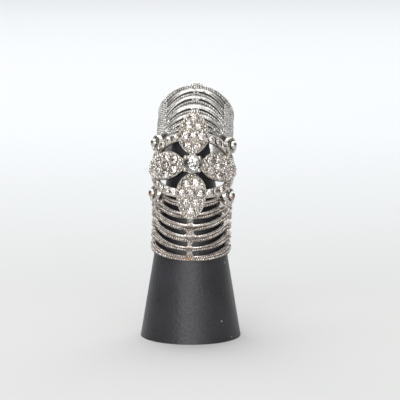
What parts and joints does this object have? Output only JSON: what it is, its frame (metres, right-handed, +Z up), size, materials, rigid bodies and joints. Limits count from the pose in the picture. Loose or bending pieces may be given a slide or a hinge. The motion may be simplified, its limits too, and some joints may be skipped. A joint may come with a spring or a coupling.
{
  "type": "hinged finger armour ring on cone stand",
  "caption": "Silver-tone openwork finger ring hinged in three sections, with a stone-set flower plate between two ribbed cages, standing on its black display cone.",
  "frame": {"origin": "centre of the stand's base, on the floor", "axes": "+Z up along the cone, -Y towards the flower, +X along the hinges to the viewer's right"},
  "size_m": [0.0262, 0.0334, 0.0648],
  "materials": {
    "stand": "satin",
    "cast_metal": "cast, plated and worn",
    "pin_metal": "polished",
    "stones": "faceted, foil backed"
  },
  "bodies": {
    "base": {"stand": "stand", "lower_cage": "cast_metal", "lower_pin_left": "pin_metal", "lower_pin_right": "pin_metal"},
    "middle": {"roundel": "cast_metal", "petal_stones": "stones", "frame_stones": "stones", "centre_stone": "stones"},
    "tip": {"upper_cage": "cast_metal", "upper_pin_left": "pin_metal", "upper_pin_right": "pin_metal"}
  },
  "joints": [
    {"name": "lower_hinge", "type": "hinge", "parent": "base", "child": "middle", "pos_m": [0.00046, -0.005, 0.03789], "axis": [0.9996, 0, -0.0279], "range_deg": [0, 17]},
    {"name": "upper_hinge", "type": "hinge", "parent": "middle", "child": "tip", "pos_m": [0.00081, -0.00079, 0.0504], "axis": [0.9996, 0, -0.0279], "range_deg": [0, 30]}
  ]
}
